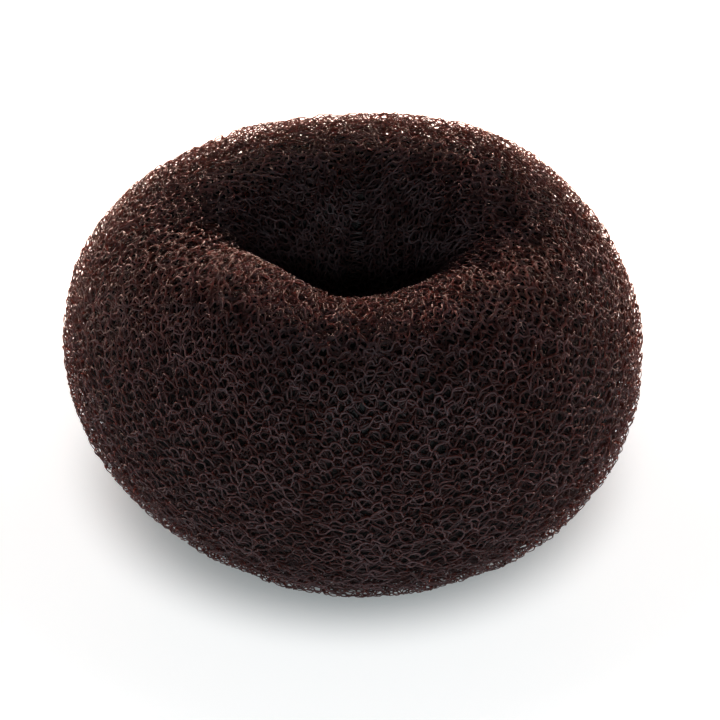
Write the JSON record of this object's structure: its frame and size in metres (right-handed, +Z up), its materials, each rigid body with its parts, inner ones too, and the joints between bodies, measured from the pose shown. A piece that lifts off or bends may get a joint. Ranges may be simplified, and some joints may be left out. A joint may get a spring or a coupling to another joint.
{
  "type": "hair donut bun maker",
  "caption": "Soft doughnut-shaped ring of rolled knitted net that pads out a hair bun, with a hole that a ponytail is pulled through.",
  "frame": {"origin": "on the surface that the ring rests on, under the middle of the ring", "axes": "+Z up along the hole, +X to the right and -Y towards the picture's camera"},
  "size_m": [0.0901, 0.0905, 0.048],
  "materials": {
    "net": "dark brown knitted nylon net, crisp, open and slightly shiny"
  },
  "bodies": {
    "root": {"net_roll": "net"}
  },
  "joints": []
}
